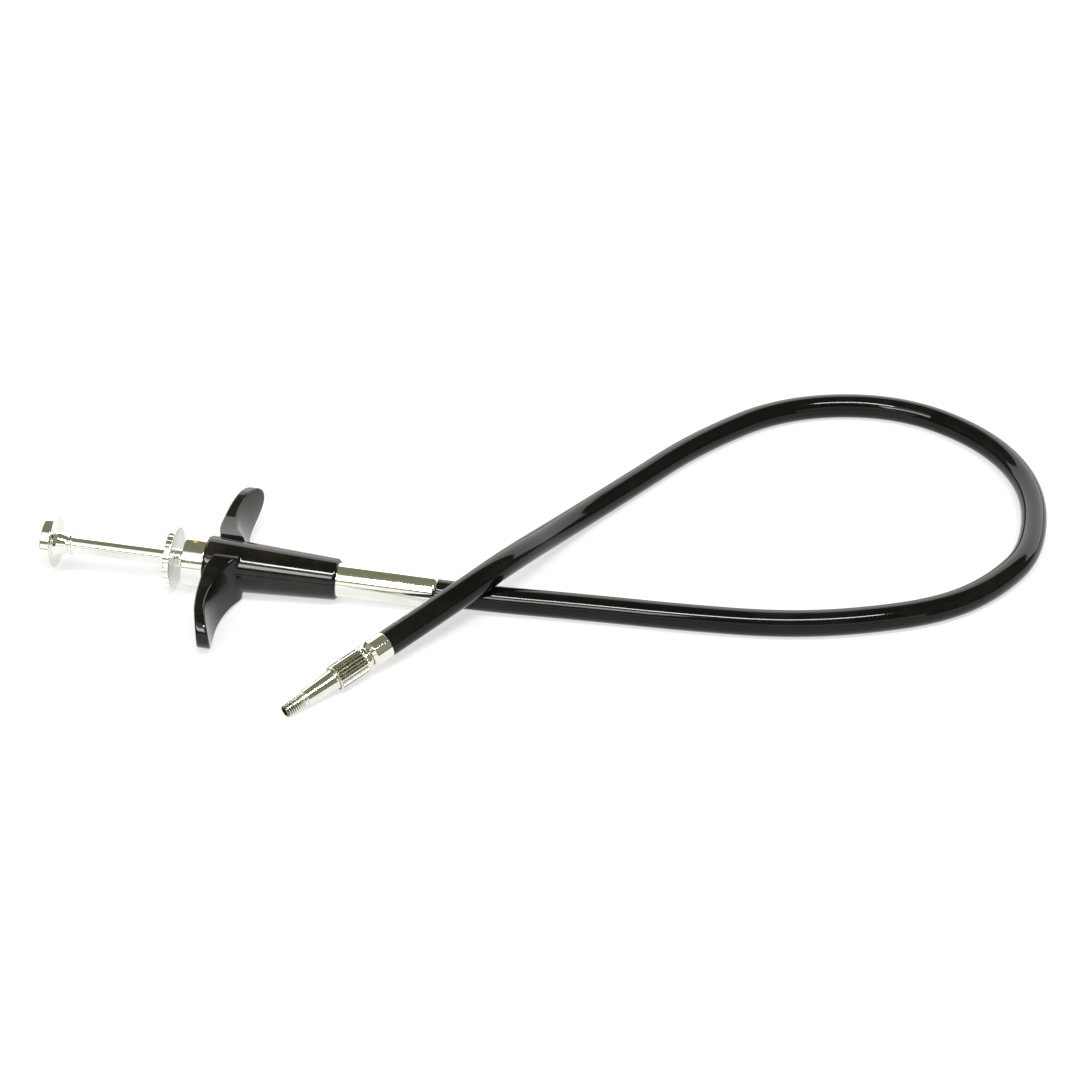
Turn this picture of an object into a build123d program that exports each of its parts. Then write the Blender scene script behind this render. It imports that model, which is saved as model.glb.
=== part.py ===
from build123d import *
from math import atan2, cos, degrees, pi, radians, sin, tan
import os

# Cable shutter release, lying on a table: the plunger handle, a looped cable and its
# threaded tip.  +X runs along the handle towards the cable, +Z is up, z = 0 is the table.
# The origin is on the table below the middle of the handle.

# ---------------------------------------------------------------- driving dimensions (mm)
stroke = 17.0                 # plunger and release pin travel

button_radius = 6.0
button_thickness = 2.2
button_face = -30.1           # outer face of the thumb button, from the lock disc's front face
rod_radius = 1.9
lock_radius = 7.2
lock_thickness = 1.5
lock_notches = 36
collar_radius = 5.9
grip_start = 7.2
grip_end = 37.2
grip_start_radius = 6.2
grip_end_radius = 4.65
tube_radius = 3.9
tube_bore = 3.2
tube_end = 59.7
wing_reach = 25.6             # handle axis to the end of a wing
wing_half_height = 4.65
wing_end_length = 7.0         # the rounded end of a wing

cable_radius = 3.0
conduit_radius = 1.7
conduit_bore = 0.9
wire_radius = 0.6

tip_length = 27.1
tip_heading = 48.1            # degrees from -X towards -Y
tip_dip = 9.4                 # degrees below horizontal
ferrule_radius = 3.0
sleeve_radius = 2.85
sleeve_flutes = 24
thread_pitch = 0.5
thread_large_radius = 1.6
thread_small_radius = 1.45
pin_radius = 0.75

table_gap = 0.02              # air left under what lies on the table
slip_gap = 0.05               # radial gap of a turning or sliding fit
disc_x = -14.75               # the lock disc's front face along X

# ---------------------------------------------------------------- frames
# The handle rests on the lock disc's rim, the tube's end and one wing.
tube_lip = 0.5
rest_length = tube_end - tube_lip
handle_dip = degrees(atan2(lock_radius - tube_radius, rest_length))
handle_roll = 5.58            # about its own axis, until a wing meets the table
handle_height = lock_radius * cos(radians(handle_dip)) + table_gap

handle_upright = Plane(
    origin=(disc_x, 0, handle_height),
    x_dir=(cos(radians(handle_dip)), 0, -sin(radians(handle_dip))),
    z_dir=(sin(radians(handle_dip)), 0, cos(radians(handle_dip))),
)
roll_sin = sin(radians(handle_roll))
roll_cos = cos(radians(handle_roll))
handle = Plane(
    origin=handle_upright.origin,
    x_dir=handle_upright.x_dir,
    z_dir=handle_upright.z_dir * roll_cos - handle_upright.y_dir * roll_sin,
)


def on_handle(along):
    """A point on the handle's axis, from the lock disc's front face."""
    return handle.origin + handle.x_dir * along


def across_handle(along):
    """The plane square to the handle's axis there."""
    return Plane(origin=on_handle(along), x_dir=handle.y_dir, z_dir=handle.x_dir)


# The cable's route, centre line, out of the tube and round to the tip.
lie = cable_radius + table_gap
cable_start = 50.3            # the sheath's end inside the tube
tip_root = Vector(37.6, -22.4, 5.9)
tip_axis = Vector(
    -cos(radians(tip_heading)) * cos(radians(tip_dip)),
    -sin(radians(tip_heading)) * cos(radians(tip_dip)),
    -sin(radians(tip_dip)),
)
hump_run = 21.0               # tip's root back to the top of the hump over the crossing
route = [
    on_handle(cable_start),
    on_handle(68),
    Vector(78, 0.5, lie),
    Vector(101.5, 0, lie),
    Vector(121.5, 0.5, lie),
    Vector(138.5, 4, lie),
    Vector(157, 11, lie),
    Vector(169, 21.5, lie),
    Vector(178.5, 37, lie),
    Vector(180, 63.5, lie),
    Vector(169, 84, lie),
    Vector(147, 96.5, lie),
    Vector(118.5, 91.5, lie),
    Vector(97.5, 71, lie),
    Vector(83.5, 50.5, lie),
    Vector(70, 30, 3.8),
    Vector(60, 6, 10.0),
    tip_root - tip_axis * hump_run,
    tip_root,
]


def corner_radii(points):
    """The largest even arc at each corner: 0.45 of the shorter run is used up by it."""
    radii = []
    for before, corner, after in zip(points, points[1:], points[2:]):
        run_in = corner - before
        run_out = after - corner
        turn = radians(run_in.get_angle(run_out))
        radii.append(0.45 * min(run_in.length, run_out.length) / tan(turn / 2))
    return radii


route_radii = corner_radii(route)
print("route radii", [round(r) for r in route_radii])
print("route runs", [round((b - a).length, 1) for a, b in zip(route, route[1:])])

tip = Plane(origin=tip_root, x_dir=tip_axis, z_dir=(-tip_axis.Y, tip_axis.X, 0))


def across_tip(along):
    """The plane square to the tip's axis, from the ferrule's back face."""
    return Plane(origin=tip.origin + tip.x_dir * along, x_dir=tip.z_dir, z_dir=tip.x_dir)


# ---------------------------------------------------------------- shared operations
def turn(outline, frame, mode=Mode.ADD):
    """Revolve an outline of (along, radius) points about a frame's X axis."""
    with BuildSketch(frame) as profile:
        with BuildLine():
            Polyline(*outline, close=True)
        make_face()
    revolve(profile.sketch, axis=Axis(frame.origin, frame.x_dir), mode=mode)


def ring(start, end, outer, inner, frame):
    """A plain tube about a frame's X axis."""
    turn([(start, inner), (start, outer), (end, outer), (end, inner)], frame)


def along_route(points, radii, outer, inner=0):
    """Sweep a round section, hollow if it has an inner radius, along the route."""
    with BuildLine() as path:
        FilletPolyline(*points, radius=radii)
    with BuildSketch(Plane(origin=points[0], z_dir=path.line % 0)) as section:
        Circle(outer)
        if inner:
            Circle(inner, mode=Mode.SUBTRACT)
    sweep(section.sketch, path=path.line)
    return path.wires()[0].length


def save(part, label):
    part.label = label
    export_step(part, f"parts/{label}.step")


os.makedirs("parts", exist_ok=True)

# ---------------------------------------------------------------- plunger
neck_end = -24.1              # where the button's neck stops on the rod
tenon_radius = 1.3
tenon_start = -28.4
disc_front = button_face + button_thickness
edge = 0.3

with BuildPart() as thumb_button:
    turn(
        [
            (button_face, 0),
            (button_face, button_radius - edge),
            (button_face + edge, button_radius),
            (disc_front - edge, button_radius),
            (disc_front, button_radius - edge),
            (disc_front, 3.3),
            (disc_front + 0.7, 2.6),
            (disc_front + 2.6, 2.1),
            (neck_end - 0.8, 2.1),
            (neck_end - 0.6, 2.4),
            (neck_end, 2.4),
            (neck_end, tenon_radius),
            (tenon_start - 0.2, tenon_radius),
            (tenon_start - 0.2, 0),
        ],
        handle,
    )
save(thumb_button.part, "thumb_button")

piston_start = 8.0
piston_end = 12.0
piston_tenon = 1.2
tenon_end = 11.0

with BuildPart() as plunger_rod:
    turn(
        [
            (tenon_start, 0),
            (tenon_start, tenon_radius),
            (neck_end, tenon_radius),
            (neck_end, rod_radius),
            (piston_start, rod_radius),
            (piston_start, piston_tenon),
            (tenon_end, piston_tenon),
            (tenon_end, 0),
        ],
        handle,
    )
save(plunger_rod.part, "plunger_rod")

lead_radius = 1.1
lead_end = 31.0
piston_radius = 3.0

with BuildPart() as plunger_piston:
    turn(
        [
            (piston_start, piston_tenon),
            (piston_start, piston_radius),
            (piston_end - 1, piston_radius),
            (piston_end - 1, 2.0),
            (piston_end, 2.0),
            (piston_end, lead_radius),
            (tenon_end, lead_radius),
            (tenon_end, piston_tenon),
        ],
        handle,
    )
save(plunger_piston.part, "plunger_piston")

with BuildPart() as push_lead:
    ring(tenon_end, lead_end, lead_radius, 0, handle)
save(push_lead.part, "push_lead")

# ---------------------------------------------------------------- lock
screw_radius = 2.35           # the lock disc's hollow screw, into the barrel head
screw_end = 3.0
screw_bore = rod_radius + 0.08
notch_radius = 0.34

with BuildPart() as lock_disc:
    with BuildSketch(across_handle(-lock_thickness)):
        Circle(lock_radius)
        with PolarLocations(lock_radius + 0.08, lock_notches):
            Circle(notch_radius, mode=Mode.SUBTRACT)
    extrude(amount=lock_thickness)
    turn(
        [
            (-lock_thickness, screw_bore),
            (-lock_thickness, lock_radius - edge),
            (-lock_thickness + edge, lock_radius),
            (-edge, lock_radius),
            (0, lock_radius - edge),
            (0, screw_bore),
        ],
        handle,
        mode=Mode.INTERSECT,
    )
    ring(-lock_thickness, screw_end, screw_radius, screw_bore, handle)
save(lock_disc.part, "lock_disc")

seat_start = screw_end        # large end of the collet's conical seat
seat_end = 5.0
seat_radius = 2.63
seat_slope = 0.286
collet_gap = 0.07


def seat(along):
    """Radius of the conical seat in the barrel head."""
    return seat_radius + (seat_end - along) * seat_slope


collet_start = seat_start + 0.1
collet_end = seat_end - 0.2
with BuildPart() as lock_collet:
    turn(
        [
            (collet_start, rod_radius + slip_gap),
            (collet_start, seat(collet_start) - collet_gap),
            (collet_end, seat(collet_end) - collet_gap),
            (collet_end, rod_radius + slip_gap),
        ],
        handle,
    )
    with BuildSketch(across_handle(collet_start + 0.5)):
        with PolarLocations(2.6, 3):
            Rectangle(2.4, 0.4)
    extrude(amount=collet_end - collet_start, mode=Mode.SUBTRACT)
save(lock_collet.part, "lock_collet")

# ---------------------------------------------------------------- barrel
head_front = 2.3
head_step = 10.0
head_step_radius = 4.6
tube_start = 5.4

with BuildPart() as barrel_head:
    turn(
        [
            (head_front, screw_radius + 0.1),
            (head_front, collar_radius - edge),
            (head_front + edge, collar_radius),
            (grip_start - edge, collar_radius),
            (grip_start, collar_radius - edge),
            (grip_start, head_step_radius),
            (head_step, head_step_radius),
            (head_step, tube_radius),
            (tube_start, tube_radius),
            (tube_start, rod_radius + 0.1),
            (seat_end, rod_radius + 0.1),
            (seat_end, seat_radius),
            (seat_start, seat(seat_start)),
            (seat_start, screw_radius + 0.1),
        ],
        handle,
    )
save(barrel_head.part, "barrel_head")

lip_radius = cable_radius + 0.02
with BuildPart() as barrel_tube:
    turn(
        [
            (tube_start, tube_bore),
            (tube_start, tube_radius),
            (rest_length, tube_radius),
            (tube_end, tube_radius - 0.35),
            (tube_end, lip_radius),
            (tube_end - 0.8, lip_radius),
            (tube_end - 0.8, tube_bore),
        ],
        handle,
    )
save(barrel_tube.part, "barrel_tube")

bush_end = 7.2
with BuildPart() as guide_bush:
    ring(tube_start, bush_end, tube_bore, rod_radius + 0.07, handle)
save(guide_bush.part, "guide_bush")

with BuildPart() as stop_washer:
    ring(bush_end, piston_start - 0.04, tube_bore - 0.1, rod_radius + 0.2, handle)
save(stop_washer.part, "stop_washer")

guide_radius = 1.6
guide_bore = 1.19
guide_start = piston_end + stroke + 0.6
anchor_start = 44.0
conduit_start = 48.6
with BuildPart() as guide_tube:
    ring(guide_start, conduit_start - 0.1, guide_radius, guide_bore, handle)
save(guide_tube.part, "guide_tube")

with BuildPart() as cable_anchor:
    turn(
        [
            (anchor_start, guide_radius),
            (anchor_start, tube_bore),
            (cable_start - 0.1, tube_bore),
            (cable_start - 0.1, conduit_radius),
            (conduit_start - 0.1, conduit_radius),
            (conduit_start - 0.1, guide_radius),
        ],
        handle,
    )
save(cable_anchor.part, "cable_anchor")

with BuildPart() as crimp_bush:
    ring(cable_start, tube_end - 0.85, tube_bore, cable_radius, handle)
save(crimp_bush.part, "crimp_bush")

spring_turns = 12
spring_radius = 2.35
spring_wire = 0.25
spring_start = piston_end - 1 + spring_wire + 0.03
spring_end = anchor_start - spring_wire - 0.03
with BuildPart() as return_spring:
    with BuildLine():
        coil = Helix(
            pitch=(spring_end - spring_start) / spring_turns,
            height=spring_end - spring_start,
            radius=spring_radius,
            center=on_handle(spring_start),
            direction=handle.x_dir,
        )
    with BuildSketch(Plane(origin=coil @ 0, z_dir=coil % 0)):
        Circle(spring_wire)
    sweep(path=coil)
save(return_spring.part, "return_spring")

# ---------------------------------------------------------------- finger grip
# Side view of one wing, as (along, out from the axis): back edge, end, finger face.
wing_back = [(9.4, 3.0), (8.5, 6.5), (8.3, 10), (8.6, 15), (9.6, 20), (11.1, 25.2)]
wing_front = [(14.0, 25.0), (12.6, 19), (12.35, 13.5), (13.4, 9), (14.6, 6.2), (15.7, 4.6)]

with BuildPart() as finger_grip:
    for side in (1, -1):
        with BuildSketch(handle) as wing_side:
            with BuildLine():
                back = Spline(*[(s, side * w) for s, w in wing_back])
                front = Spline(*[(s, side * w) for s, w in wing_front])
                end_middle = (12.8, side * wing_reach)
                ThreePointArc(back @ 1, end_middle, front @ 0)
                Polyline(front @ 1, (16, side * 1), (10, side * 1), back @ 0)
            make_face()
        extrude(wing_side.sketch, amount=7, both=True)
    straight_reach = wing_reach - wing_end_length
    with BuildSketch(across_handle(6)) as tongue:
        Rectangle(2 * straight_reach, 2 * wing_half_height)
        with Locations((straight_reach, 0), (-straight_reach, 0)):
            Ellipse(wing_end_length, wing_half_height)
        Rectangle(15, 2 * wing_half_height + 1.2)
    extrude(tongue.sketch, amount=14, mode=Mode.INTERSECT)
    turn(
        [
            (grip_start, 1),
            (grip_start, grip_start_radius - 0.5),
            (grip_start + 0.5, grip_start_radius),
            (grip_end - edge, grip_end_radius),
            (grip_end, grip_end_radius - edge),
            (grip_end, 1),
        ],
        handle,
    )
    turn(
        [(6, 0), (6, head_step_radius), (head_step, head_step_radius), (head_step, 0)],
        handle,
        mode=Mode.SUBTRACT,
    )
    turn(
        [(6, 0), (6, tube_radius), (grip_end + 1, tube_radius), (grip_end + 1, 0)],
        handle,
        mode=Mode.SUBTRACT,
    )
save(finger_grip.part, "finger_grip")

# ---------------------------------------------------------------- cable
with BuildPart() as cable_sheath:
    sheath_length = along_route(route, route_radii, cable_radius, conduit_radius)
save(cable_sheath.part, "cable_sheath")

conduit_end = 3.2             # inside the tip ferrule
conduit_route = [on_handle(conduit_start), *route[1:-1], tip_root + tip_axis * conduit_end]
with BuildPart() as cable_conduit:
    along_route(conduit_route, route_radii, conduit_radius, conduit_bore)
save(cable_conduit.part, "cable_conduit")

pin_start = 6.0
wire_route = [on_handle(lead_end), *route[1:-1], tip_root + tip_axis * pin_start]
with BuildPart() as inner_wire:
    wire_length = along_route(wire_route, route_radii, wire_radius)
save(inner_wire.part, "inner_wire")

sheath_section = pi * (cable_radius**2 - conduit_radius**2)
print("sheath length", round(sheath_length, 1), "visible", round(sheath_length - tube_end + cable_start, 1))
print("sheath volume", round(cable_sheath.part.volume), "section x length", round(sheath_section * sheath_length))
print("wire length", round(wire_length, 1))

# ---------------------------------------------------------------- tip
neck_start = 4.4
neck_radius = 2.05
flange_start = 6.0
flange_end = 7.0
flange_radius = 2.3
pin_bore = pin_radius + 0.1

with BuildPart() as tip_ferrule:
    turn(
        [
            (0, conduit_radius),
            (0, ferrule_radius),
            (neck_start - 0.5, ferrule_radius),
            (neck_start, neck_radius + 0.2),
            (neck_start, neck_radius),
            (flange_start, neck_radius),
            (flange_start, flange_radius),
            (flange_end, flange_radius),
            (flange_end, pin_bore),
            (conduit_end, pin_bore),
            (conduit_end, conduit_radius),
        ],
        tip,
    )
save(tip_ferrule.part, "tip_ferrule")

sleeve_start = 5.3
sleeve_end = 14.0
recess_end = 7.4
shank_radius = 2.1            # threaded tip's shank, pressed into the sleeve
flute_radius = 0.2

with BuildPart() as tip_sleeve:
    with BuildSketch(across_tip(sleeve_start)):
        Circle(sleeve_radius)
        with PolarLocations(sleeve_radius + 0.04, sleeve_flutes):
            Circle(flute_radius, mode=Mode.SUBTRACT)
    extrude(amount=sleeve_end - sleeve_start)
    turn(
        [
            (sleeve_start, 0),
            (sleeve_start, sleeve_radius - 0.4),
            (sleeve_start + 0.4, sleeve_radius),
            (sleeve_end - 0.3, sleeve_radius),
            (sleeve_end, sleeve_radius - 0.3),
            (sleeve_end, 0),
        ],
        tip,
        mode=Mode.INTERSECT,
    )
    turn(
        [
            (sleeve_start - 1, 0),
            (sleeve_start - 1, neck_radius + 0.1),
            (flange_start - slip_gap, neck_radius + 0.1),
            (flange_start - slip_gap, flange_radius + 0.08),
            (recess_end, flange_radius + 0.08),
            (recess_end, shank_radius),
            (sleeve_end + 1, shank_radius),
            (sleeve_end + 1, 0),
        ],
        tip,
        mode=Mode.SUBTRACT,
    )
save(tip_sleeve.part, "tip_sleeve")

cone_end = 21.6
thread_start = 23.1
thread_depth = 0.18
mouth_start = 24.9
mouth_radius = 1.0
guide_fit = 1.1
thread_turns = int((tip_length - thread_start) / thread_pitch)


def crest(along):
    """Radius of the tapered thread's crests."""
    share = (along - thread_start) / (tip_length - thread_start)
    return thread_large_radius + (thread_small_radius - thread_large_radius) * share


thread_outline = []
for number in range(thread_turns):
    start = thread_start + number * thread_pitch
    thread_outline.append((start, crest(start) - thread_depth))
    thread_outline.append((start + 0.2, crest(start)))
    thread_outline.append((start + 0.3, crest(start)))

with BuildPart() as threaded_tip:
    turn(
        [
            (recess_end, guide_fit),
            (recess_end, shank_radius),
            (sleeve_end, shank_radius),
            (sleeve_end, 2.25),
            (cone_end, 1.8),
            (cone_end + 0.15, 1.42),
            (cone_end + 0.5, 1.42),
            (cone_end + 0.65, 1.7),
            (cone_end + 1.1, 1.7),
            (cone_end + 1.25, 1.42),
            *thread_outline,
            (tip_length - 0.2, thread_small_radius - thread_depth),
            (tip_length, thread_small_radius - thread_depth - 0.1),
            (tip_length, mouth_radius),
            (mouth_start, mouth_radius),
            (mouth_start, guide_fit),
        ],
        tip,
    )
save(threaded_tip.part, "threaded_tip")

with BuildPart() as pin_guide:
    ring(20, mouth_start, guide_fit, pin_radius + slip_gap, tip)
save(pin_guide.part, "pin_guide")

pin_end = 23.6
with BuildPart() as release_pin:
    turn(
        [
            (pin_start, 0),
            (pin_start, pin_radius),
            (pin_end - 0.3, pin_radius),
            (pin_end, pin_radius - 0.3),
            (pin_end, 0),
        ],
        tip,
    )
save(release_pin.part, "release_pin")

handle_pieces = [
    thumb_button, plunger_rod, plunger_piston, lock_disc, barrel_head, barrel_tube, finger_grip,
]
handle_box = Compound([piece.part for piece in handle_pieces]).bounding_box()
print("handle box", handle_box)
print("wing low point", round(finger_grip.part.bounding_box().min.Z, 3))
print("tip low point", round(threaded_tip.part.bounding_box().min.Z, 3))
print("handle axis", handle.x_dir, "tip axis", tip.x_dir, "tip origin", tip.origin)
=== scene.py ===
import math

import bpy
import numpy as np
from mathutils import Matrix, Vector


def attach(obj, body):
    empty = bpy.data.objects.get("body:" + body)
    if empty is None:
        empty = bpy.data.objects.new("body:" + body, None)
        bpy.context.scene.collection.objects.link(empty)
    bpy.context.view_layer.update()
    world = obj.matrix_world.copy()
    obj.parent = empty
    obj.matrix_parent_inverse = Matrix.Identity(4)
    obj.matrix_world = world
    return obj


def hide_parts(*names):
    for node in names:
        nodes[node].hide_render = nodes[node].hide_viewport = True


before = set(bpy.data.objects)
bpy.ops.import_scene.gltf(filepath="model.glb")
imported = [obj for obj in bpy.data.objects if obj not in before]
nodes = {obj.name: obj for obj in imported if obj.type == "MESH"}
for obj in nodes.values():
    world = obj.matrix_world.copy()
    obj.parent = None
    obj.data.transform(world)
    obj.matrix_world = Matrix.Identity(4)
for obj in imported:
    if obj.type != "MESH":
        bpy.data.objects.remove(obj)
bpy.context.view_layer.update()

MM = 0.001


# ---------------------------------------------------------------- camera
def look_from(place, forward, right):
    """Matrix of a camera at a place in metres, looking along forward."""
    back = -Vector(forward).normalized()
    up = back.cross(Vector(right)).normalized()
    side = up.cross(back)
    matrix = Matrix((side, up, back)).transposed().to_4x4()
    matrix.translation = Vector(place)
    return matrix


camera_data = bpy.data.cameras.new("camera")
camera = bpy.data.objects.new("camera", camera_data)
bpy.context.collection.objects.link(camera)
camera_data.sensor_width = 36.0
camera_data.lens = 70.1
camera_data.clip_start = 0.01
camera_data.clip_end = 20.0
ROLL = math.radians(0.51)
level_right = Vector((0.9917, 0.1289, 0.0))
forward = Vector((-0.1048, 0.8060, -0.5826)).normalized()
level_up = level_right.cross(forward)
camera.matrix_world = look_from(
    Vector((116.0, -369.7, 288.0)) * MM,
    forward,
    level_right * math.cos(ROLL) + level_up * math.sin(ROLL),
)
bpy.context.scene.camera = camera

# ---------------------------------------------------------------- frames of the two axes
DISC_RADIUS, TUBE_RADIUS, REST_LENGTH = 7.2, 3.9, 59.2
TABLE_GAP = 0.02
HANDLE_DIP = math.atan2(DISC_RADIUS - TUBE_RADIUS, REST_LENGTH)
HANDLE_ROLL = math.radians(5.58)
TIP_HEADING, TIP_DIP = math.radians(48.1), math.radians(9.4)


class Axes:
    """A frame whose x runs along a piece's axis.  Stations are in millimetres."""

    def __init__(self, origin, x, z):
        self.o = np.array(origin, float)
        self.x = np.array(x, float)
        self.z = np.array(z, float)
        self.y = np.cross(self.z, self.x)

    def points(self, p):
        """(n, 3) local points in millimetres, as row-frame points in metres."""
        p = np.asarray(p, float)
        return (self.o + p @ np.array([self.x, self.y, self.z])) * MM

    def at(self, along):
        return self.o + self.x * along


upright = np.array((math.sin(HANDLE_DIP), 0.0, math.cos(HANDLE_DIP)))
across = np.array((0.0, 1.0, 0.0))
handle = Axes(
    (-14.75, 0.0, DISC_RADIUS * math.cos(HANDLE_DIP) + TABLE_GAP),
    (math.cos(HANDLE_DIP), 0.0, -math.sin(HANDLE_DIP)),
    upright * math.cos(HANDLE_ROLL) - across * math.sin(HANDLE_ROLL),
)
tip_x = np.array((
    -math.cos(TIP_HEADING) * math.cos(TIP_DIP),
    -math.sin(TIP_HEADING) * math.cos(TIP_DIP),
    -math.sin(TIP_DIP),
))
TIP_ROOT = np.array((37.6, -22.4, 5.9))
tip_side = np.array((-tip_x[1], tip_x[0], 0.0))
tip = Axes(TIP_ROOT, tip_x, tip_side / np.linalg.norm(tip_side))

# ---------------------------------------------------------------- cable
CABLE_RADIUS = 3.0
LIE = CABLE_RADIUS + TABLE_GAP
HUMP_RUN = 21.0
route = [
    handle.at(50.3),
    handle.at(68),
    (78, 0.5, LIE),
    (101.5, 0, LIE),
    (121.5, 0.5, LIE),
    (138.5, 4, LIE),
    (157, 11, LIE),
    (169, 21.5, LIE),
    (178.5, 37, LIE),
    (180, 63.5, LIE),
    (169, 84, LIE),
    (147, 96.5, LIE),
    (118.5, 91.5, LIE),
    (97.5, 71, LIE),
    (83.5, 50.5, LIE),
    (70, 30, 3.8),
    (60, 6, 10.0),
    TIP_ROOT - tip_x * HUMP_RUN,
    TIP_ROOT,
]


def nurbs(name, points, bevel):
    """An open quadratic NURBS curve with the points, in millimetres, as its controls."""
    curve = bpy.data.curves.new(name, "CURVE")
    curve.dimensions = "3D"
    spline = curve.splines.new("NURBS")
    spline.points.add(len(points) - 1)
    for control, point in zip(spline.points, points):
        control.co = (*(Vector(point) * MM), 1.0)
    spline.order_u = 3
    spline.use_endpoint_u = True
    spline.resolution_u = 24
    curve.resolution_u = 24
    curve.bevel_depth = bevel * MM
    curve.bevel_resolution = 12
    curve.use_fill_caps = True
    obj = bpy.data.objects.new(name, curve)
    bpy.context.collection.objects.link(obj)
    return obj


cable = nurbs("cable", route, CABLE_RADIUS)


# ---------------------------------------------------------------- materials
# Base colours, each with its worn or dirty twin, in linear light, and a dark colour painted into the cuts
# as shade.
CHROME, CHROME_WORN = (0.86, 0.86, 0.83), (0.74, 0.73, 0.68)
NICKEL, NICKEL_WORN = (0.82, 0.81, 0.77), (0.70, 0.68, 0.61)
# painted shade: the dark olive-brown painted into the bottoms of the flutes and the thread
GROOVE_SHADE = (0.20, 0.19, 0.145)
BRASS, BRASS_DULL = (0.72, 0.55, 0.26), (0.45, 0.33, 0.15)
STEEL, STEEL_DULL = (0.56, 0.56, 0.55), (0.40, 0.39, 0.37)
MOULDED_BLACK, MOULDED_WORN = (0.0020, 0.0020, 0.0022), (0.0150, 0.0110, 0.0085)
VINYL_BLACK, VINYL_RUBBED = (0.0018, 0.0018, 0.0020), (0.0070, 0.0068, 0.0064)
PAINT, PAINT_WORN = (0.62, 0.29, 0.06), (0.38, 0.15, 0.03)
FLOOR_GREY, FLOOR_PALE = (0.28, 0.28, 0.28), (0.30, 0.30, 0.30)


class Shader:
    """A Principled material built node by node."""

    def __init__(self, name, **inputs):
        self.material = bpy.data.materials.new(name)
        self.material.use_nodes = True
        self.tree = self.material.node_tree
        self.surface = next(n for n in self.tree.nodes if n.type == "BSDF_PRINCIPLED")
        for key, value in inputs.items():
            self.surface.inputs[key.replace("_", " ")].default_value = value
        self.place = self.node("ShaderNodeTexCoord").outputs["Object"]

    def node(self, kind, **settings):
        made = self.tree.nodes.new(kind)
        for key, value in settings.items():
            setattr(made, key, value)
        return made

    def link(self, out, into):
        self.tree.links.new(out, into)

    def stretched(self, axes, scale):
        """Object coordinates turned to a piece's axis, then scaled along it and across it."""
        turned = self.node("ShaderNodeVectorRotate", rotation_type="EULER_XYZ", invert=True)
        basis = Matrix((axes.x, axes.y, axes.z)).transposed()
        turned.inputs["Rotation"].default_value = basis.to_euler("XYZ")
        turned.inputs["Center"].default_value = axes.o * MM
        self.link(self.place, turned.inputs["Vector"])
        mapped = self.node("ShaderNodeMapping")
        mapped.inputs["Scale"].default_value = scale
        self.link(turned.outputs[0], mapped.inputs["Vector"])
        return mapped.outputs[0]

    def noise(self, scale, detail=3.0, rough=0.5, place=None, distortion=0.0):
        made = self.node("ShaderNodeTexNoise")
        made.inputs["Scale"].default_value = scale
        made.inputs["Detail"].default_value = detail
        made.inputs["Roughness"].default_value = rough
        made.inputs["Distortion"].default_value = distortion
        self.link(place or self.place, made.inputs["Vector"])
        return made.outputs["Fac"]

    def ranged(self, value, low, high, to_low, to_high):
        made = self.node("ShaderNodeMapRange")
        for key, number in zip(("From Min", "From Max", "To Min", "To Max"), (low, high, to_low, to_high)):
            made.inputs[key].default_value = number
        self.link(value, made.inputs["Value"])
        return made.outputs["Result"]

    def mixed(self, value, first, second):
        """A colour between two, or two sockets."""
        made = self.node("ShaderNodeMix", data_type="RGBA")
        for socket, colour in ((made.inputs[6], first), (made.inputs[7], second)):
            if hasattr(colour, "links"):
                self.link(colour, socket)
            else:
                socket.default_value = (*colour, 1.0)
        self.link(value, made.inputs[0])
        return made.outputs[2]

    def maths(self, operation, *values):
        made = self.node("ShaderNodeMath", operation=operation)
        for socket, value in zip(made.inputs, values):
            if hasattr(value, "links"):
                self.link(value, socket)
            else:
                socket.default_value = value
        return made.outputs[0]

    def bump(self, height, strength, distance):
        made = self.node("ShaderNodeBump")
        made.inputs["Strength"].default_value = strength
        made.inputs["Distance"].default_value = distance * MM
        self.link(height, made.inputs["Height"])
        last = self.surface.inputs["Normal"]
        if last.links:
            self.link(last.links[0].from_socket, made.inputs["Normal"])
        self.link(made.outputs[0], last)

    def along_axis(self, axes):
        """How far the surface faces along a piece's axis, either way: 0 to 1."""
        facing = self.node("ShaderNodeVectorMath", operation="DOT_PRODUCT")
        self.link(self.node("ShaderNodeNewGeometry").outputs["Normal"], facing.inputs[0])
        facing.inputs[1].default_value = axes.x
        return self.maths("ABSOLUTE", facing.outputs["Value"])

    def off_axis(self, axes):
        """Distance from a piece's axis, in millimetres."""
        local = self.node("ShaderNodeVectorMath", operation="SUBTRACT")
        self.link(self.stretched(axes, (1 / MM, 1 / MM, 1 / MM)), local.inputs[0])
        local.inputs[1].default_value = axes.o
        parts = self.node("ShaderNodeSeparateXYZ")
        self.link(local.outputs[0], parts.inputs[0])
        y, z = parts.outputs[1], parts.outputs[2]
        y_square, z_square = self.maths("MULTIPLY", y, y), self.maths("MULTIPLY", z, z)
        return self.maths("SQRT", self.maths("ADD", y_square, z_square))

    def colour(self, socket):
        self.link(socket, self.surface.inputs["Base Color"])

    def roughness(self, socket):
        self.link(socket, self.surface.inputs["Roughness"])


def scratches(shader, place, scale, share):
    """Fine hairlines: a thin slice of a stretched noise."""
    lines = shader.noise(scale, 2.0, 0.6, place)
    near = shader.maths("ABSOLUTE", shader.maths("SUBTRACT", lines, 0.5))
    return shader.ranged(near, 0.0, share, 1.0, 0.0)


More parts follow.
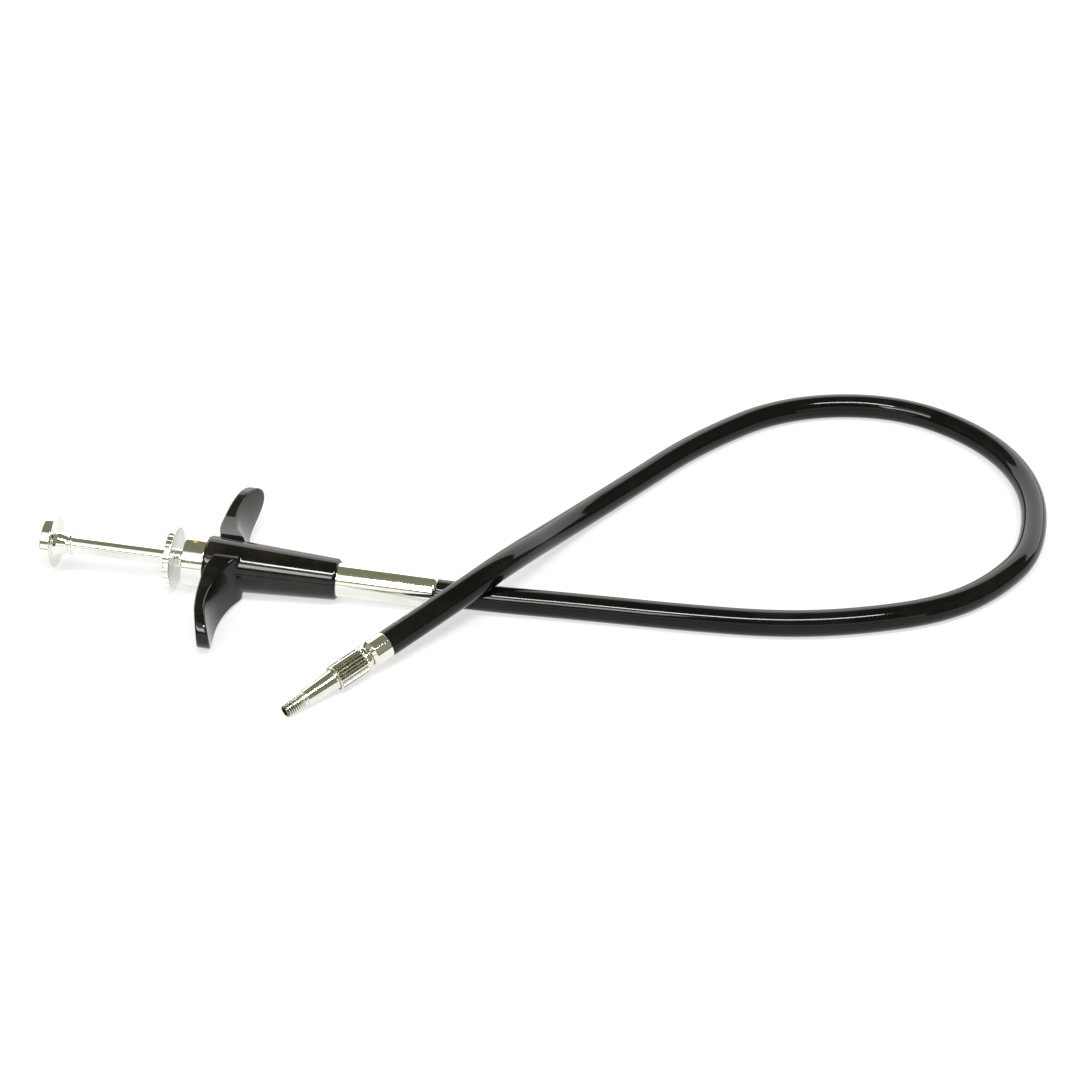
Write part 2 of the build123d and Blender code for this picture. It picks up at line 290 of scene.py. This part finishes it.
def plated(name, axes, colour, worn, gloss=0.05, satin=0.0, groove_shade=None):
    """Chrome or nickel plate: bright, with haze, faint turning lines and hairline scratches.

    satin is the roughness that the faces square to the axis have on top.  The last argument is the
    (lit, shaded) distance from the axis between which the cuts darken with painted shade."""
    shader = Shader(name, Metallic=1.0)
    haze = shader.noise(90.0, 4.0, 0.6)
    shade = shader.mixed(shader.ranged(haze, 0.40, 0.72, 0.0, 1.0), colour, worn)
    # painted shade: the colour darkens towards the bottoms of the cuts
    if groove_shade:
        shade = shader.mixed(shader.ranged(shader.off_axis(axes), *groove_shade, 0.0, 1.0), shade, GROOVE_SHADE)
    shader.colour(shade)
    along = shader.stretched(axes, (250.0, 2500.0, 2500.0))
    around = shader.stretched(axes, (9000.0, 120.0, 120.0))
    hair = scratches(shader, along, 1.0, 0.006)
    turned = shader.noise(1.0, 2.0, 0.5, around)
    rough = shader.maths("MULTIPLY_ADD", hair, 0.12, shader.ranged(haze, 0.35, 0.75, gloss, gloss + 0.09))
    if satin:
        square = shader.ranged(shader.along_axis(axes), 0.85, 0.97, 0.0, satin)
        rough = shader.maths("ADD", rough, square)
    shader.roughness(rough)
    shader.bump(turned, 0.04, 0.004)
    shader.bump(shader.noise(160.0, 2.0, 0.5), 0.10, 0.02)
    return shader.material


chrome = plated("chrome", handle, CHROME, CHROME_WORN)
satin_chrome = plated("satin_chrome", handle, CHROME, CHROME_WORN, satin=0.30)
nickel = plated("nickel", tip, NICKEL, NICKEL_WORN, 0.07)
# the fluted sleeve and the thread get painted shade in the bottoms of their cuts
fluted_nickel = plated("fluted_nickel", tip, NICKEL, NICKEL_WORN, 0.07, groove_shade=(2.80, 2.56))
threaded_nickel = plated("threaded_nickel", tip, NICKEL, NICKEL_WORN, 0.07, groove_shade=(1.42, 1.26))


def black_moulding():
    """The grip: glossy black moulding with a soft, slightly worn and fingered surface."""
    shader = Shader("grip_black", IOR=1.5, Specular_IOR_Level=0.36)
    wear = shader.noise(120.0, 5.0, 0.6)
    shader.colour(shader.mixed(shader.ranged(wear, 0.42, 0.70, 0.0, 1.0), MOULDED_BLACK, MOULDED_WORN))
    smear = shader.noise(45.0, 4.0, 0.55, distortion=0.6)
    hair = scratches(shader, shader.stretched(handle, (300.0, 1600.0, 1600.0)), 1.0, 0.004)
    rough = shader.maths("MULTIPLY_ADD", hair, 0.12, shader.ranged(smear, 0.35, 0.7, 0.05, 0.11))
    shader.roughness(rough)
    shader.bump(shader.noise(2600.0, 2.0, 0.5), 0.05, 0.01)
    shader.bump(shader.noise(210.0, 2.0, 0.5), 0.18, 0.03)
    return shader.material


def black_vinyl():
    """The cable's covering: extruded vinyl, a little uneven, with rubbed spots."""
    shader = Shader("sheath_black", IOR=1.5, Specular_IOR_Level=0.24)
    rubbed = shader.noise(70.0, 5.0, 0.65)
    shader.colour(shader.mixed(shader.ranged(rubbed, 0.46, 0.72, 0.0, 1.0), VINYL_BLACK, VINYL_RUBBED))
    shader.roughness(shader.ranged(shader.noise(160.0, 4.0, 0.6), 0.35, 0.7, 0.04, 0.10))
    shader.bump(shader.noise(60.0, 2.0, 0.5), 0.30, 0.25)
    shader.bump(shader.noise(260.0, 2.0, 0.5), 0.20, 0.05)
    shader.bump(shader.noise(2400.0, 2.0, 0.5), 0.06, 0.01)
    return shader.material


grip_black = black_moulding()
sheath_black = black_vinyl()


def turned_metal(name, axes, colour, worn, gloss):
    """Brass or steel as turned or drawn, for what is mostly out of sight."""
    shader = Shader(name, Metallic=1.0)
    spots = shader.noise(300.0, 4.0, 0.6)
    shader.colour(shader.mixed(shader.ranged(spots, 0.4, 0.7, 0.0, 1.0), colour, worn))
    lines = shader.noise(1.0, 3.0, 0.6, shader.stretched(axes, (7000.0, 150.0, 150.0)))
    shader.roughness(shader.ranged(lines, 0.3, 0.7, gloss, gloss + 0.15))
    shader.bump(lines, 0.2, 0.01)
    return shader.material


brass = turned_metal("brass", handle, BRASS, BRASS_DULL, 0.22)
steel = turned_metal("steel", handle, STEEL, STEEL_DULL, 0.25)


FLOOR_GLOW = 0.62             # the table's own light, which keeps it near white and its shadows faint


def pale_floor():
    """The plain white table, with the faintest cloudiness."""
    shader = Shader(
        "pale_floor", Roughness=0.9, Specular_IOR_Level=0.1,
        Emission_Color=(1.0, 1.0, 1.0, 1.0), Emission_Strength=FLOOR_GLOW,
    )
    grain = shader.noise(3.0, 3.0, 0.5)
    shader.colour(shader.mixed(grain, FLOOR_GREY, FLOOR_PALE))
    return shader.material


# ---------------------------------------------------------------- turned pieces
ROUND = 0.12                  # usual rounding of a turned edge


def rounded(outline, radius=ROUND, steps=4, closed=False):
    """An (along, radius) outline whose corners are small arcs with support points beside them.

    A third number in a point is that corner's own rounding."""
    corners = [np.array(c[:2], float) for c in outline]
    wanted = [c[2] if len(c) > 2 else radius for c in outline]
    count = len(corners)
    result = []
    for i, corner in enumerate(corners):
        if not closed and i in (0, count - 1):
            result.append(corner)
            continue
        before, after = corners[i - 1], corners[(i + 1) % count]
        run_in, run_out = corner - before, after - corner
        length_in, length_out = np.linalg.norm(run_in), np.linalg.norm(run_out)
        unit_in, unit_out = run_in / length_in, run_out / length_out
        turn = math.acos(max(-1.0, min(1.0, float(unit_in @ unit_out))))
        if turn < 0.02:
            result.append(corner)
            continue
        reach = min(wanted[i] * math.tan(turn / 2), 0.42 * length_in, 0.42 * length_out)
        first, last = corner - unit_in * reach, corner + unit_out * reach
        support = 0.25 * reach
        result.append(first - unit_in * min(support, 0.05 * length_in))
        for k in range(steps + 1):
            t = k / steps
            result.append(first * (1 - t) ** 2 + corner * 2 * t * (1 - t) + last * t ** 2)
        result.append(last + unit_out * min(support, 0.05 * length_out))
    return np.array(result)


def mesh_object(name, verts, faces, body, node, material):
    """A smooth piece that rides a body and stands in for a CAD node, if it has one."""
    mesh = bpy.data.meshes.new(name)
    mesh.from_pydata([tuple(v) for v in verts], [], faces)
    mesh.validate()
    mesh.update()
    obj = bpy.data.objects.new(name, mesh)
    bpy.context.collection.objects.link(obj)
    mesh.materials.append(material)
    mesh.shade_smooth()
    mesh.set_sharp_from_angle(angle=math.radians(40))
    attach(obj, body)
    if node:
        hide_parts(*(node if isinstance(node, tuple) else (node,)))
    return obj


def lathe(name, axes, outline, body, node, material, segments=128, shape=None, closed=False):
    """Turn an outline about a frame's x.  shape(along, radius, angle) gives a radius of its own."""
    outline = np.asarray(outline, float)
    rings = len(outline)
    angles = np.arange(segments) * 2 * math.pi / segments
    along = np.repeat(outline[:, 0], segments).reshape(rings, segments)
    radius = np.repeat(outline[:, 1], segments).reshape(rings, segments)
    angle = np.tile(angles, (rings, 1))
    if shape:
        radius = shape(along, radius, angle)
    local = np.stack([along, radius * np.cos(angle), radius * np.sin(angle)], axis=-1).reshape(-1, 3)
    verts = axes.points(local)
    faces = []
    last = rings if closed else rings - 1
    pole_start = not closed and outline[0, 1] < 1e-6
    pole_end = not closed and outline[-1, 1] < 1e-6
    verts = list(map(tuple, verts))
    index = [[r * segments + k for k in range(segments)] for r in range(rings)]
    for r in range(last):
        a, b = index[r], index[(r + 1) % rings]
        for k in range(segments):
            n = (k + 1) % segments
            if r == 0 and pole_start:
                faces.append((a[0], b[k], b[n]))
            elif r == last - 1 and pole_end:
                faces.append((a[n], a[k], b[0]))
            else:
                faces.append((a[n], a[k], b[k], b[n]))
    keep = sorted({i for f in faces for i in f})
    renumber = {old: new for new, old in enumerate(keep)}
    verts = [verts[i] for i in keep]
    faces = [tuple(renumber[i] for i in f) for f in faces]
    return mesh_object(name, verts, faces, body, node, material)


# ---------------------------------------------------------------- handle
def notches(count, depth, above, share=0.5):
    """A shape function for a lathe: round-bottomed notches along the axis, all the way round."""
    def shape(along, radius, angle):
        phase = (angle * count / (2 * math.pi)) % 1.0
        cut = np.clip(1.0 - np.abs(phase - 0.5) * 2 / share, 0.0, 1.0)
        cut = np.sin(cut * math.pi / 2) ** 0.8
        inside = np.clip((radius - above) / 0.12, 0.0, 1.0)
        return radius - depth * cut * inside
    return shape


lathe(
    "thumb_button_turned", handle,
    rounded([
        (-30.1, 0.0), (-30.1, 4.9, 0.4), (-30.0, 5.2, 0.4), (-30.1, 5.5, 0.2), (-30.1, 6.0, 0.32),
        (-27.9, 6.0, 0.32), (-27.9, 3.4, 0.25), (-27.2, 2.75, 1.0), (-25.3, 2.1, 1.5),
        (-24.9, 2.1, 0.1), (-24.7, 2.4), (-24.1, 2.4), (-24.1, 1.4), (-24.1, 0.0),
    ]),
    "plunger", "thumb_button", chrome,
)
lathe(
    "plunger_rod_turned", handle,
    rounded([(-24.6, 0.0), (-24.6, 1.9), (8.0, 1.9), (8.0, 1.2), (11.0, 1.2), (11.0, 0.0)], 0.06),
    "plunger", "plunger_rod", chrome,
)
lathe(
    "lock_disc_notched", handle,
    rounded([
        (-1.5, 1.99, 0.05), (-1.5, 3.6, 0.2), (-1.4, 3.9, 0.2), (-1.5, 4.2, 0.2), (-1.5, 7.2, 0.25),
        (0.0, 7.2, 0.25), (0.0, 2.35, 0.15), (3.0, 2.35, 0.1), (3.0, 1.99, 0.05),
    ], closed=True),
    "lock_disc", "lock_disc", satin_chrome,
    segments=432, shape=notches(36, 0.30, 6.55, 0.34), closed=True,
)
lathe(
    "barrel_head_turned", handle,
    rounded([
        (5.0, 2.0, 0.05), (5.0, 2.63, 0.05), (3.0, 3.2, 0.05), (3.0, 2.45, 0.05), (2.3, 2.45, 0.1),
        (2.3, 5.9, 0.25), (7.2, 5.9, 0.15), (7.2, 4.6, 0.1), (10.0, 4.6, 0.1), (10.0, 3.9, 0.05),
        (5.4, 3.9, 0.05), (5.4, 2.0, 0.05),
    ], closed=True),
    "handle", "barrel_head", chrome, segments=192, closed=True,
)
lathe(
    "barrel_tube_drawn", handle,
    rounded([
        (5.4, 3.2, 0.05), (5.4, 3.9, 0.05), (59.0, 3.9, 1.2), (59.7, 3.62, 0.25), (59.7, 3.02, 0.2),
        (58.9, 3.02, 0.05), (58.9, 3.2, 0.05),
    ], closed=True),
    "handle", "barrel_tube", chrome, segments=192, closed=True,
)

INDEX_AT, INDEX_RADIUS, COLLAR_RADIUS = 4.7, 0.55, 5.9


def index_paint():
    """Orange-brown paint, thin and a little worn, filling the collar's index mark."""
    shader = Shader("index_paint", Roughness=0.45)
    flecks = shader.noise(1800.0, 3.0, 0.6)
    shader.colour(shader.mixed(shader.ranged(flecks, 0.4, 0.65, 0.0, 1.0), PAINT, PAINT_WORN))
    shader.bump(flecks, 0.3, 0.02)
    return shader.material


def dome(name, middle, radius, rise, rings=5, segments=32):
    """A shallow painted bead wrapped on the collar; middle is (along, angle) there."""
    spots, faces = [(middle[0], middle[1], rise)], []
    for ring in range(1, rings + 1):
        share = ring / rings
        for k in range(segments):
            turn = 2 * math.pi * k / segments
            spots.append((
                middle[0] + radius * share * math.cos(turn),
                middle[1] + radius * share * math.sin(turn) / COLLAR_RADIUS,
                rise * (1 - share**2) - 0.03 * (ring == rings),
            ))
    for k in range(segments):
        n = (k + 1) % segments
        faces.append((0, 1 + k, 1 + n))
        for ring in range(1, rings):
            a, b = 1 + (ring - 1) * segments, 1 + ring * segments
            faces.append((a + k, b + k, b + n, a + n))
    local = [
        (s, (COLLAR_RADIUS + h) * math.sin(angle), (COLLAR_RADIUS + h) * math.cos(angle))
        for s, angle, h in spots
    ]
    return mesh_object(name, handle.points(local), faces, "handle", None, index_paint())


dome("collar_index_mark", (INDEX_AT, 0.0), INDEX_RADIUS, 0.05)

# ---------------------------------------------------------------- finger grip
# Curves are (distance out from the axis, station along it), in millimetres.
GRIP_START, GRIP_END = 7.2, 37.2
GRIP_START_RADIUS, GRIP_END_RADIUS = 6.2, 4.65
GRIP_BORE = 3.93
WING_REACH, WING_END, WING_HALF = 25.6, 7.0, 4.65
ROOT_RISE = 1.25              # how much taller a wing is beside the barrel
FACE_CROWN = 0.35             # how far the finger face bulges between its edges
BACK_EDGE = [(0, 10.4), (3, 9.6), (6.5, 8.5), (10, 8.3), (15, 8.6), (20, 9.5), (25.6, 11.2), (28, 11.9)]
FINGER_FACE = [
    (0, 15.9), (2, 15.8), (4.4, 15.4), (6.2, 14.5), (9, 13.35), (13.5, 12.35), (19, 12.5),
    (25.6, 14.0), (28, 14.7),
]
FACE_LEAN = [                 # how far the face's top edge sits behind its middle
    (0, 0.0), (3, 0.2), (5, 0.9), (8, 1.25), (11, 1.3), (14, 1.15), (18, 0.9), (22, 0.6), (28, 0.3),
]


def smooth_curve(points, samples=400):
    """A natural cubic through the points, as a lookup for np.interp."""
    x, y = (np.array(v, float) for v in zip(*points))
    n = len(x)
    h = np.diff(x)
    system, right = np.eye(n), np.zeros(n)
    for i in range(1, n - 1):
        system[i, i - 1:i + 2] = h[i - 1], 2 * (h[i - 1] + h[i]), h[i]
        right[i] = 6 * ((y[i + 1] - y[i]) / h[i] - (y[i] - y[i - 1]) / h[i - 1])
    bend = np.linalg.solve(system, right)
    out_x = np.linspace(x[0], x[-1], samples)
    k = np.clip(np.searchsorted(x, out_x, side="right") - 1, 0, n - 2)
    a, b = x[k + 1] - out_x, out_x - x[k]
    out_y = (
        bend[k] * a**3 / (6 * h[k]) + bend[k + 1] * b**3 / (6 * h[k])
        + (y[k] / h[k] - bend[k] * h[k] / 6) * a + (y[k + 1] / h[k] - bend[k + 1] * h[k] / 6) * b
    )
    return out_x, out_y


back_curve, face_curve, lean_curve = (smooth_curve(c) for c in (BACK_EDGE, FINGER_FACE, FACE_LEAN))


def smooth_max(a, b, k):
    """The larger of two fields, with the crease between them rounded over k."""
    gap = np.clip(k - np.abs(a - b), 0.0, None) / k
    return np.maximum(a, b) + gap * gap * k / 4


def smooth_min(a, b, k):
    return -smooth_max(-a, -b, k)


def grip_field(p):
    """Signed field of the grip, negative inside, at (n, 3) points of the handle's frame."""
    s, w, u = p[:, 0], p[:, 1], p[:, 2]
    r = np.hypot(w, u)
    share = (s - GRIP_START) / (GRIP_END - GRIP_START)
    barrel = r - (GRIP_START_RADIUS + (GRIP_END_RADIUS - GRIP_START_RADIUS) * share)
    barrel = smooth_max(barrel, GRIP_START - s, 0.8)
    barrel = smooth_max(barrel, s - GRIP_END, 0.7)
    out = np.abs(w)
    height = np.clip(u / WING_HALF, -1.2, 1.2)
    back, face = np.interp(out, *back_curve), np.interp(out, *face_curve)
    face = face + FACE_CROWN * (0.45 - height**2) - np.interp(out, *lean_curve) * height
    thick = np.abs(s - (back + face) / 2) - (face - back) / 2
    swell = np.clip((11.5 - out) / 8.0, 0.0, 1.0) ** 1.6 * np.clip((out - 1.5) / 2.2, 0.0, 1.0)
    root_half = WING_HALF + ROOT_RISE * swell
    straight = WING_REACH - WING_END
    beyond = np.clip(out - straight, 0.0, None)
    high = np.where(
        beyond > 0,
        (np.hypot(beyond / WING_END, u / WING_HALF) - 1) * WING_HALF,
        np.abs(u) - root_half,
    )
    wing = smooth_max(thick, high, 0.5)
    solid = smooth_min(barrel, wing, 0.4)
    return smooth_max(solid, GRIP_BORE - r, 0.3)


def surface_net(field, low, high, step):
    """Quads over a field's zero surface, their corners moved onto it."""
    sizes = [int(math.ceil((b - a) / step)) + 1 for a, b in zip(low, high)]
    axes = [a + np.arange(n) * step for a, n in zip(low, sizes)]
    grid = np.stack(np.meshgrid(*axes, indexing="ij"), axis=-1)
    value = field(grid.reshape(-1, 3)).reshape(sizes)
    total, weight = np.zeros([n - 1 for n in sizes] + [3]), np.zeros([n - 1 for n in sizes])
    crossings = []
    for axis in range(3):
        first = [slice(None)] * 3
        second = [slice(None)] * 3
        first[axis], second[axis] = slice(0, -1), slice(1, None)
        a, b = value[tuple(first)], value[tuple(second)]
        crosses = (a < 0) != (b < 0)
        crossings.append((axis, crosses, a < 0))
        share = np.where(crosses, a / np.where(crosses, a - b, 1.0), 0.0)
        point = grid[tuple(first)].copy()
        point[..., axis] += share * step
        others = [k for k in range(3) if k != axis]
        for di in (0, 1):
            for dj in (0, 1):
                pick = [slice(None)] * 3
                pick[others[0]] = slice(di, sizes[others[0]] - 1 + di)
                pick[others[1]] = slice(dj, sizes[others[1]] - 1 + dj)
                here = crosses[tuple(pick)]
                total += np.where(here[..., None], point[tuple(pick)], 0.0)
                weight += here
    used = weight > 0
    index = np.full(used.shape, -1)
    index[used] = np.arange(used.sum())
    verts = total[used] / weight[used][:, None]
    for _ in range(6):
        here = field(verts)
        slope = np.stack([
            (field(verts + delta) - field(verts - delta)) / 0.02 for delta in np.eye(3) * 0.01
        ], axis=-1)
        move = here[:, None] * slope / np.clip((slope**2).sum(1), 0.05, None)[:, None]
        verts = verts - np.clip(move, -0.2 * step, 0.2 * step)
    faces = []
    for axis, crosses, inside in crossings:
        others = [k for k in range(3) if k != axis]
        if axis == 1:
            others.reverse()
        where = np.argwhere(crosses)
        where = where[(where[:, others[0]] > 0) & (where[:, others[1]] > 0)]
        for cell in where:
            ring = []
            for di, dj in ((-1, -1), (0, -1), (0, 0), (-1, 0)):
                corner = cell.copy()
                corner[others[0]] += di
                corner[others[1]] += dj
                ring.append(int(index[tuple(corner)]))
            faces.append(tuple(ring) if inside[tuple(cell)] else tuple(reversed(ring)))
    return verts, faces


GRIP_STEP = 0.24
grip_verts, grip_faces = surface_net(grip_field, (6.8, -26.2, -6.9), (37.8, 26.2, 6.9), GRIP_STEP)
mesh_object(
    "finger_grip_moulded", handle.points(grip_verts), grip_faces,
    "handle", "finger_grip", grip_black,
)

# ---------------------------------------------------------------- tip
ferrule = lathe(
    "tip_ferrule_turned", tip,
    rounded([
        (0.0, 1.7, 0.05), (0.0, 3.0, 0.15), (3.9, 3.0, 0.12), (4.75, 2.4, 0.08), (4.8, 2.05, 0.05),
        (6.0, 2.05, 0.05), (6.0, 2.3, 0.05), (7.0, 2.3, 0.05), (7.0, 0.85, 0.05), (3.2, 0.85, 0.05),
        (3.2, 1.7, 0.05),
    ], closed=True),
    "handle", "tip_ferrule", nickel, closed=True,
)


FLUTES, FLUTE_SHARE, FLUTE_DEPTH = 24, 0.62, 0.34
FLUTE_START, FLUTE_END = 6.25, 13.75


def sleeve_flutes(along, radius, angle):
    """Rounded flutes between the sleeve's two plain rims."""
    phase = (angle * FLUTES / (2 * math.pi)) % 1.0
    cut = np.sin(np.clip(1.0 - np.abs(phase - 0.5) * 2 / FLUTE_SHARE, 0.0, 1.0) * math.pi / 2)
    run = np.clip((along - FLUTE_START) / 0.35, 0.0, 1.0) * np.clip((FLUTE_END - along) / 0.3, 0.0, 1.0)
    return radius - FLUTE_DEPTH * cut * run * (radius > 2.5)


sleeve_top = [(5.3, 2.15, 0.05), (5.3, 2.85, 0.35), (5.95, 2.85, 0.1)]
sleeve_top += [(6.2 + 0.1 * k, 2.85) for k in range(8)] + [(13.0 + 0.1 * k, 2.85) for k in range(9)]
sleeve = lathe(
    "tip_sleeve_fluted", tip,
    rounded(sleeve_top + [
        (14.0, 2.85, 0.15), (14.0, 2.1, 0.05), (7.4, 2.1, 0.05), (7.4, 2.38, 0.05), (5.95, 2.38, 0.05),
        (5.95, 2.15, 0.05),
    ], closed=True),
    "tip_swivel", "tip_sleeve", fluted_nickel, segments=384, shape=sleeve_flutes, closed=True,
)

THREAD_START, THREAD_END, THREAD_PITCH, THREAD_DEPTH = 23.05, 26.95, 0.5, 0.27


def thread(along, radius, angle):
    """A right-hand tapered thread on the outside of the tip's end."""
    phase = ((along - THREAD_START) / THREAD_PITCH - angle / (2 * math.pi)) % 1.0
    ridge = np.clip(1.5 - np.abs(phase - 0.5) * 4.2, 0.0, 1.0)
    run = np.clip((along - THREAD_START) / 0.35, 0.0, 1.0) * np.clip((THREAD_END - along) / 0.3, 0.0, 1.0)
    inside = (along > THREAD_START - 0.01) & (along < THREAD_END + 0.01) & (radius > 1.2)
    return np.where(inside, radius - THREAD_DEPTH * (1 - ridge * run), radius)


def thread_crest(along):
    """Radius over the thread's crests, which taper towards the end."""
    return 1.60 - 0.15 * (along - THREAD_START) / (THREAD_END - THREAD_START)


thread_line = [(t, thread_crest(t)) for t in np.arange(THREAD_START, THREAD_END, 0.04)]
tip_front = rounded([
    (7.4, 1.1, 0.05), (7.4, 2.1, 0.05), (14.0, 2.1, 0.05), (14.0, 2.36, 0.1), (14.35, 2.24, 0.2),
    (21.75, 1.8, 0.2), (21.9, 1.42, 0.08), (22.15, 1.42, 0.08), (22.2, 1.70, 0.16), (22.65, 1.70, 0.16),
    (22.75, 1.36, 0.05), (23.0, 1.36, 0.05),
])
tip_back = rounded([
    (26.97, 1.30), (27.1, 1.18, 0.1), (27.1, 1.0, 0.08), (24.9, 1.0, 0.05), (24.9, 1.1, 0.05), (7.45, 1.1),
])
threaded = lathe(
    "threaded_tip_turned", tip, np.concatenate([tip_front, np.array(thread_line), tip_back]),
    "tip_swivel", "threaded_tip", threaded_nickel, segments=96, shape=thread, closed=True,
)

# ---------------------------------------------------------------- cable and what stays CAD
cable.data.materials.append(sheath_black)
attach(cable, "handle")
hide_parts("cable_sheath")
INNER_PIECES = {
    brass: ("guide_bush", "lock_collet", "cable_anchor", "crimp_bush", "pin_guide"),
    steel: (
        "plunger_piston", "push_lead", "stop_washer", "guide_tube", "return_spring",
        "cable_conduit", "inner_wire", "release_pin",
    ),
}
for metal, names in INNER_PIECES.items():
    for name in names:
        nodes[name].data.materials.clear()
        nodes[name].data.materials.append(metal)

# ---------------------------------------------------------------- studio
floor_mesh = bpy.data.meshes.new("floor")
FLOOR_HALF = 2.5
floor_corners = [(x * FLOOR_HALF, y * FLOOR_HALF, 0) for x, y in ((-1, -1), (1, -1), (1, 1), (-1, 1))]
floor_mesh.from_pydata(floor_corners, [], [(0, 1, 2, 3)])
floor = bpy.data.objects.new("floor", floor_mesh)
bpy.context.collection.objects.link(floor)
floor_mesh.materials.append(pale_floor())


LIT_POINT = Vector((0.06, 0.02, 0.0))
OLIVE_SURROUND = (0.224, 0.225, 0.139, 1.0)    # what the bright metal's olive bands reflect


def softbox(name, azimuth, elevation, distance, size, radiance, colour=(1.0, 1.0, 1.0)):
    """An area light aimed at the object.  Azimuth 0 is the camera's side."""
    light = bpy.data.lights.new(name, "AREA")
    light.shape = "RECTANGLE"
    light.size, light.size_y = size
    light.energy = size[0] * size[1] * math.pi * radiance
    light.color = colour
    obj = bpy.data.objects.new(name, light)
    bpy.context.collection.objects.link(obj)
    a, e = math.radians(azimuth), math.radians(elevation)
    back = Vector((math.sin(a) * math.cos(e), -math.cos(a) * math.cos(e), math.sin(e)))
    obj.location = LIT_POINT + back * distance
    obj.rotation_euler = (-back).to_track_quat("-Z", "Y").to_euler()
    return obj


softbox("key_box", -26, 43, 1.6, (1.05, 0.34), 13)
softbox("key_glow", -26, 50, 1.65, (1.05, 1.0), 1.1, (0.86, 0.93, 1.0))
softbox("top_strip", 26, 66, 1.5, (0.95, 0.13), 52.2)
softbox("front_wall", 10, 14, 1.9, (3.2, 0.7), 1.0)
softbox("rear_box", 180, 24, 1.9, (6.0, 1.35), 2.4)
softbox("left_box", -90, 32, 1.7, (1.6, 1.1), 0.14)
softbox("right_box", 90, 32, 1.7, (1.6, 1.1), 0.08)
world = bpy.data.worlds.new("studio")
bpy.context.scene.world = world
world.use_nodes = True
world.node_tree.nodes["Background"].inputs["Color"].default_value = OLIVE_SURROUND
world.node_tree.nodes["Background"].inputs["Strength"].default_value = 1.0
bpy.context.scene.view_settings.view_transform = "Standard"
